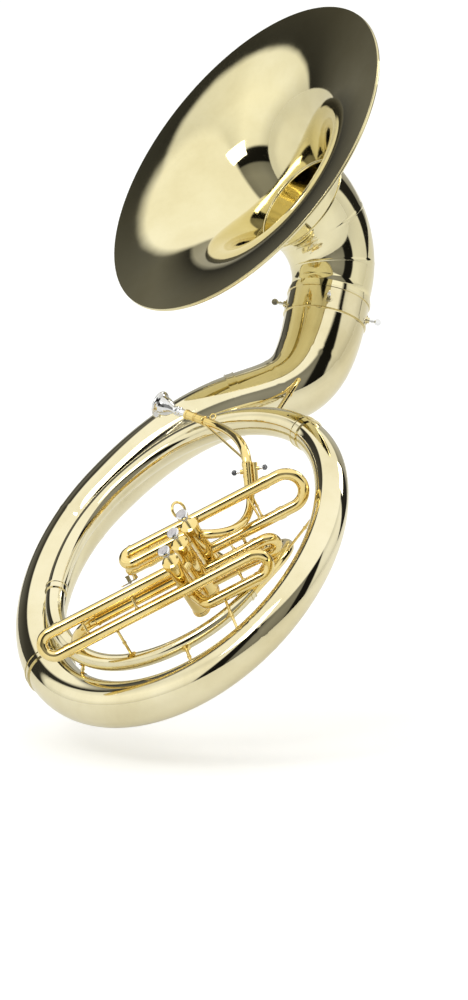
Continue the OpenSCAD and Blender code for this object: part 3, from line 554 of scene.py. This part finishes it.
# drawn in by a third of a millimetre where the pulled first slide comes up to it
coil_path, coil_radii = coil_run(170, 360, 260)
pinch = 0.35 * bump_curve(np.linspace(170, 360, 260) - 326.6, width=9)
branch("outer_coil_tube", (coil_path, coil_radii - pinch), "lower_branch", seams=(0.52,))
branch("inner_coil_tube", coil_run(360, 502, 200), "inner_branch", sides=64)
branch("small_coil_tube", coil_run(502, COIL_END, 200), "small_branch", sides=64, step=4)

# ---------------------------------------------------------------- main line
MAIN_R = 9.8
SIGHT = np.array([0.0317, 0.8007, -0.5982])      # camera's line of sight, in the coil frame
UNDER_GAP = 14.8                                 # coil skin to centre of the tube behind it
UNDER_START, UNDER_END = 607, 556                # coil angles the tube behind runs between
VALVE_X = VALVE_TURN @ np.array([1.0, 0, 0])
COIL_JOINT = valve_to_coil([84.6, 84, -200.5])
UNDER_JOINT = valve_to_coil([84.6, 58, -159])
RETURN_JOINT = valve_to_coil([-196, -30, -47])


def under_at(angle):
    return coil_at(angle) + SIGHT * (coil_tube_radius(angle) + UNDER_GAP)


def heading(curve, angle):
    return unit(curve(angle) - curve(angle - 1))


def bezier_run(points, start_radius, end_radius):
    places = np.linspace(0, 1, 80)
    return ([bezier(points, t) for t in places],
            [lerp(start_radius, end_radius, t) for t in places])


def main_line():
    coil_tail, under_head, under_tail = coil_at(COIL_END), under_at(UNDER_START), under_at(UNDER_END)
    to_coil = [COIL_JOINT, COIL_JOINT + VALVE_X * 147,
               coil_tail + heading(coil_at, COIL_END) * 44, coil_tail]
    to_under = [UNDER_JOINT, UNDER_JOINT + VALVE_X * 110,
                under_head + heading(under_at, UNDER_START) * 114, under_head]
    back = [under_tail, under_tail - heading(under_at, UNDER_END) * 60,
            RETURN_JOINT - VALVE_X * 62, RETURN_JOINT]
    under = [under_at(angle) for angle in np.linspace(UNDER_START, UNDER_END, 60)]
    make_tubes("main_line_tubes", [
        bezier_run(to_coil, MAIN_R, coil_tube_radius(COIL_END)),
        bezier_run(to_under, MAIN_R, MAIN_R),
        (under, [MAIN_R] * len(under)),
        bezier_run(back, MAIN_R, MAIN_R)], BRASS_PAINTED_REFLECTION, "horn", "main_tubes", sides=40)


main_line()

# ---------------------------------------------------------------- leadpipe and neck
VALVE_STEP = np.array([27.0, 30.0, 0])      # from the second valve to the first
PIPE_START_R, PIPE_END_R = 7.4, 8.6


def diagonal(x, rising, falling):
    """Valve-frame vector from parts along X, (0, 1, 1) and (0, -1, 1)."""
    share = math.sqrt(0.5)
    return np.array([x, (rising - falling) * share, (rising + falling) * share])


RECEIVER_AXIS = unit(diagonal(0.337, 0.905, -0.26))
RECEIVER_FOOT = diagonal(143, 20, -92)
RECEIVER_LENGTH = 55.0
LEAD_HEADING = unit([0.803, -0.596, 0])
LEAD_END = VALVE_STEP + np.array([0, 0, -27.0]) + LEAD_HEADING * 14.9

MOUTHPIECE_AT = np.array([167, 217, 132.0])
MOUTHPIECE_AXIS = unit([0.339, -0.881, -0.325])
MOUTHPIECE_LENGTH, MOUTHPIECE_OVERLAP, BIT_LENGTH = 84.0, 24, 40

# stations along the axis: distance, radius
SOCKET = [(0, 7.9), (0.05, 8.7), (5.5, 8.7), (6.0, 8.3), (6.5, 8.2), (17.6, 8.2), (18.0, 8.0)]
TENON = [(-32, 7.8), (-31.6, 8.0), (0.8, 8.0)]
TENON_RING = [(0.2, 9.2), (0.4, 9.7), (1.8, 9.8), (3.2, 9.7), (3.4, 9.2)]


def straight_run(start, axis, stations):
    return ([start + axis * distance for distance, _ in stations],
            [radius for _, radius in stations])


def leadpipe():
    points = [RECEIVER_FOOT, RECEIVER_FOOT - RECEIVER_AXIS * 60,
              LEAD_END + LEAD_HEADING * 60, LEAD_END]
    make_tubes("leadpipe_tube", [bezier_run(valve_to_coil(points), PIPE_START_R, PIPE_END_R)],
               BRASS_PAINTED_REFLECTION, "horn", "leadpipe", sides=36)


def neck():
    start = MOUTHPIECE_AT + MOUTHPIECE_AXIS * (
        MOUTHPIECE_LENGTH - MOUTHPIECE_OVERLAP + BIT_LENGTH)
    end = valve_to_coil(RECEIVER_FOOT + RECEIVER_AXIS * RECEIVER_LENGTH)
    axis = VALVE_TURN @ RECEIVER_AXIS
    pipe = [start, start + MOUTHPIECE_AXIS * 50, end + axis * 52, end + axis * 1.5]
    make_tubes("neck_tube", [
        bezier_run(pipe, PIPE_START_R, PIPE_END_R),
        # socket for the bit, with a rolled lip
        straight_run(start + MOUTHPIECE_AXIS * 2, -MOUTHPIECE_AXIS, SOCKET),
        # tenon that stands in the receiver, and the ring above it
        straight_run(end, axis, TENON),
        straight_run(end, axis, TENON_RING)],
        BRASS_PAINTED_REFLECTION, "neck", "neck", sides=48, wall=0.6)


leadpipe()
neck()

# ---------------------------------------------------------------- valve springs
VALVE_UP = COIL_TURN @ (VALVE_TURN @ np.array([0, 0, 1.0]))      # in the world


def valve_spring(number):
    """Copy of the CAD spring, carried with the horn."""
    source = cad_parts["valve_spring_%d" % number]
    mesh = source.data.copy()
    mesh.transform(source.matrix_world)
    ob = bpy.data.objects.new("spring_coil_%d" % number, mesh)
    bpy.context.scene.collection.objects.link(ob)
    heights = np.array([tuple(vertex.co) for vertex in mesh.vertices]) @ VALVE_UP
    foot = tuple(mesh.vertices[int(heights.argmin())].co)
    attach(ob, "horn")
    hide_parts("valve_spring_%d" % number)
    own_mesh(ob)


for number in (1, 2, 3):
    valve_spring(number)

# ---------------------------------------------------------------- pearls in the finger buttons
# radius, height in the valve frame
PEARL_PROFILE = [(0.05, 32.2), (8.9, 32.2), (8.9, 33.2), (8.5, 33.5), (7.0, 33.75),
                 (4.0, 33.95), (0.05, 34.0)]
for number in (1, 2, 3):
    verts, faces = lathe(PEARL_PROFILE, 64)
    make_object("pearl_%d" % number, valve_to_coil(verts + VALVE_STEP * (2 - number)), faces,
                PEARL, "valve_%d" % number)

# ---------------------------------------------------------------- floor
FLOOR_SIZE, FLOOR_DROP = 140, 0.06      # metres


def floor_material():
    """Near white to the camera, a dimmer grey in reflections, clear from below."""
    material, tree = new_material("pale_floor")
    colour = ramp(tree, noise(tree, coordinates(tree), Scale=1.2, Detail=3.0),
                  stops=[(0.3, (0.80, 0.80, 0.79)), (0.7, (0.83, 0.83, 0.82))])
    seen = node(tree, "ShaderNodeLightPath").outputs["Is Camera Ray"]
    glow = multiply_add(tree, seen, factor=0.30, offset=0.12)
    paper = principled(tree, {"Roughness": 0.85, "Base Color": colour,
                              "Emission Color": colour, "Emission Strength": glow})
    below = node(tree, "ShaderNodeNewGeometry").outputs["Backfacing"]
    clear = node(tree, "ShaderNodeBsdfTransparent").outputs[0]
    mixed = node(tree, "ShaderNodeMixShader", {0: below, 1: paper, 2: clear})
    set_surface(tree, mixed.outputs[0])
    return material


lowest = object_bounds()[0][2]
bpy.ops.mesh.primitive_plane_add(size=FLOOR_SIZE, location=(0, 0, lowest - FLOOR_DROP))
floor = bpy.context.object
floor.name = "floor"
floor.data.materials.append(floor_material())

# ---------------------------------------------------------------- world
# azimuth, brightness: 0 and 1 are behind the camera, 0.25 left, 0.5 beyond the horn, 0.75 right
WALLS = [
    (0.00, 0.30), (0.045, 0.22), (0.050, 0.01), (0.100, 0.01), (0.107, 1.05), (0.25, 1.15),
    (0.318, 1.0), (0.324, 0.03), (0.345, 0.05), (0.40, 0.16), (0.438, 0.03), (0.445, 0.40),
    (0.56, 0.55), (0.61, 0.35), (0.616, 0.02), (0.69, 0.02), (0.697, 1.0), (0.83, 0.9),
    (0.838, 0.01), (0.90, 0.01), (0.908, 0.26), (1.0, 0.30)]
# elevation (0 straight down, 0.5 level, 1 straight up), brightness: dim foot, bright upper part
WALL_FADE = [(0.44, 0.62), (0.52, 0.80), (0.60, 1.0), (0.72, 1.06), (0.80, 0.86)]
CEILING_MASK = [(0.0, BLACK), (0.805, BLACK), (0.83, WHITE)]
CEILING = (1.15, 1.15, 1.13, 1)
BACKDROP = (0.9, 0.9, 0.9, 1)      # what the camera sees directly


def warm_stops(table):
    return [(place, (value, value, value * 0.985)) for place, value in table]


def studio_world():
    world = bpy.data.worlds.new("studio")
    bpy.context.scene.world = world
    tree = empty_tree(world)
    x, y, z = node(tree, "ShaderNodeSeparateXYZ",
                   {0: coordinates(tree, "Generated")}).outputs
    angle = node(tree, "ShaderNodeMath", {0: x, 1: y}, operation="ARCTAN2").outputs[0]
    azimuth = multiply_add(tree, angle, factor=1 / (2 * math.pi), offset=0.5)
    elevation = multiply_add(tree, z, factor=0.5, offset=0.5)
    walls = mix_colours(tree, 1.0, ramp(tree, azimuth, warm_stops(WALLS)),
                        ramp(tree, elevation, warm_stops(WALL_FADE)), blend="MULTIPLY")
    room = mix_colours(tree, ramp(tree, elevation, CEILING_MASK), walls, CEILING)
    seen = node(tree, "ShaderNodeLightPath").outputs["Is Camera Ray"]
    light = node(tree, "ShaderNodeBackground", {0: mix_colours(tree, seen, room, BACKDROP),
                                                1: 1.0})
    node(tree, "ShaderNodeOutputWorld", {0: light.outputs[0]})


studio_world()


# ---------------------------------------------------------------- lights and camera
def add_aimed(name, data, location, direction):
    ob = bpy.data.objects.new(name, data)
    bpy.context.scene.collection.objects.link(ob)
    ob.location = location
    ob.rotation_mode = "QUATERNION"
    ob.rotation_quaternion = Vector(direction).to_track_quat("-Z", "Y")
    return ob


def area_light(name, location, target, size, power):
    data = bpy.data.lights.new(name, "AREA")
    data.shape, data.size, data.energy = "SQUARE", size, power
    add_aimed(name, data, location, Vector(target) - Vector(location))


area_light("key", location=(-2.6, -2.8, 3.6), target=(0, 0, 0.2), size=1.6, power=45)
area_light("rim", location=(2.8, 1.8, 2.6), target=(0, 0, 0.3), size=1.2, power=22)

bpy.context.scene.view_settings.view_transform = "Standard"
bpy.context.scene.view_settings.look = "None"

CAMERA_RISE = math.radians(12.0)
CAMERA_DISTANCE = 20.0                       # metres
VIEW_RIGHT, VIEW_UP = 0.0822898, 0.109839    # view centre from the origin, metres
VIEW_LENGTH = 1.78890877                     # longer side of the view at the origin, metres
SENSOR = 36                                  # mm


def add_camera():
    up = np.array([0, math.sin(CAMERA_RISE), math.cos(CAMERA_RISE)])
    back = np.array([0, -math.cos(CAMERA_RISE), math.sin(CAMERA_RISE)])
    data = bpy.data.cameras.new("camera")
    data.sensor_width = SENSOR
    data.lens = SENSOR * CAMERA_DISTANCE / VIEW_LENGTH
    data.clip_start, data.clip_end = 1.0, 200.0
    place = np.array([VIEW_RIGHT, 0, 0]) + up * VIEW_UP + back * CAMERA_DISTANCE
    bpy.context.scene.camera = add_aimed("camera", data, place, -back)


add_camera()
